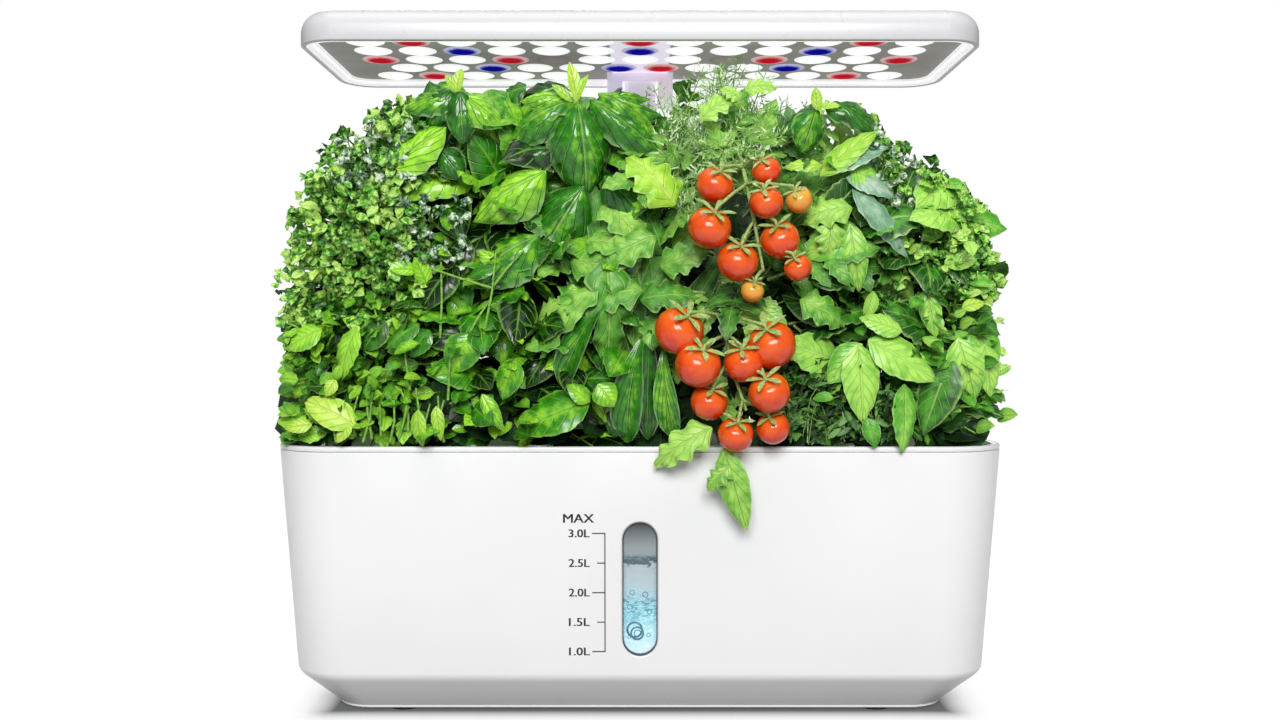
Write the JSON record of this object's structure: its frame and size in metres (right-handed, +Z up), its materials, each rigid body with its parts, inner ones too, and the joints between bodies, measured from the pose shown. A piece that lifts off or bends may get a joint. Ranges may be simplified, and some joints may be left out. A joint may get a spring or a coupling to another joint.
{
  "type": "countertop hydroponic garden",
  "caption": "Countertop hydroponic garden: water tank with sight window, planting deck with baskets and plants, circulation pump and an LED lamp on a telescoping post.",
  "frame": {"origin": "on the table under the middle of the tank", "axes": "+Z up, front with the sight window towards -Y, +X to the right seen from the front"},
  "size_m": [0.3771, 0.1491, 0.3474],
  "materials": {
    "white_plastic": "moulded ABS, satin",
    "clear_window": "clear moulded pane",
    "black_rubber": "matt",
    "steel": "ground pin",
    "black_plastic": "moulded, fine matt",
    "pipe_plastic": "extruded",
    "post_paint": "white powder coat",
    "board": "circuit board lacquer",
    "lens": "lit lens",
    "button_plastic": "soft matt",
    "basket_plastic": "moulded",
    "sponge": "open foam",
    "foliage": "living leaves and fruit"
  },
  "bodies": {
    "tank": {"tank_shell": "white_plastic", "window_pane": "clear_window", "window_gasket": "black_rubber", "foot_front_left": "black_rubber", "foot_front_right": "black_rubber", "foot_back_right": "black_rubber", "foot_back_left": "black_rubber"},
    "deck": {"grow_deck": "white_plastic", "flap_hinge_pin": "steel", "pump_housing": "black_plastic", "pump_strainer": "black_plastic", "pump_riser": "pipe_plastic", "post_base": "white_plastic", "power_inlet": "black_plastic", "lower_post": "post_paint", "post_grip_collar": "white_plastic", "grow_basket_1": "basket_plastic", "grow_basket_2": "basket_plastic", "grow_basket_3": "basket_plastic", "grow_basket_4": "basket_plastic", "grow_basket_5": "basket_plastic", "grow_basket_6": "basket_plastic", "grow_basket_7": "basket_plastic", "grow_basket_8": "basket_plastic", "grow_basket_9": "basket_plastic", "grow_basket_10": "basket_plastic", "grow_sponge_1": "sponge", "grow_sponge_2": "sponge", "grow_sponge_3": "sponge", "grow_sponge_4": "sponge", "grow_sponge_5": "sponge", "grow_sponge_6": "sponge", "grow_sponge_7": "sponge", "grow_sponge_8": "sponge", "grow_sponge_9": "sponge", "grow_sponge_10": "sponge", "mint_plant": "foliage", "basil_bush_plant": "foliage", "leafy_greens_plant": "foliage", "tomato_plant": "foliage", "lemon_balm_plant": "foliage", "parsley_left_plant": "foliage", "basil_tall_plant": "foliage", "basil_broad_plant": "foliage", "dill_plant": "foliage", "parsley_right_plant": "foliage"},
    "refill_flap": {"refill_flap": "white_plastic"},
    "impeller": {"pump_impeller": "black_plastic"},
    "lamp": {"upper_post": "post_paint", "lamp_bracket": "white_plastic", "lamp_housing": "white_plastic", "lamp_bezel": "white_plastic", "led_board": "board", "lens_plate": "lens", "control_board": "board"},
    "light_button": {"light_button": "button_plastic"},
    "timer_button": {"timer_button": "button_plastic"}
  },
  "joints": [
    {"name": "deck_lift", "type": "slide", "parent": "tank", "child": "deck", "axis": [0, 0, 1], "range_m": [0, 0.13]},
    {"name": "lamp_height", "type": "slide", "parent": "deck", "child": "lamp", "axis": [0, 0, 1], "range_m": [0, 0.075]},
    {"name": "refill_flap_hinge", "type": "hinge", "parent": "deck", "child": "refill_flap", "pos_m": [-0.1691, 0, 0.1286], "axis": [0, -1, 0], "range_deg": [0, 100]},
    {"name": "impeller_spin", "type": "hinge", "parent": "deck", "child": "impeller", "pos_m": [0.031, -0.0075, 0.0205], "axis": [0, 1, 0], "continuous": true},
    {"name": "light_button_press", "type": "slide", "parent": "lamp", "child": "light_button", "axis": [0, 0, -1], "range_m": [0, 0.0008], "stiffness_N_per_m": 400},
    {"name": "timer_button_press", "type": "slide", "parent": "lamp", "child": "timer_button", "axis": [0, 0, -1], "range_m": [0, 0.0008], "stiffness_N_per_m": 400}
  ]
}
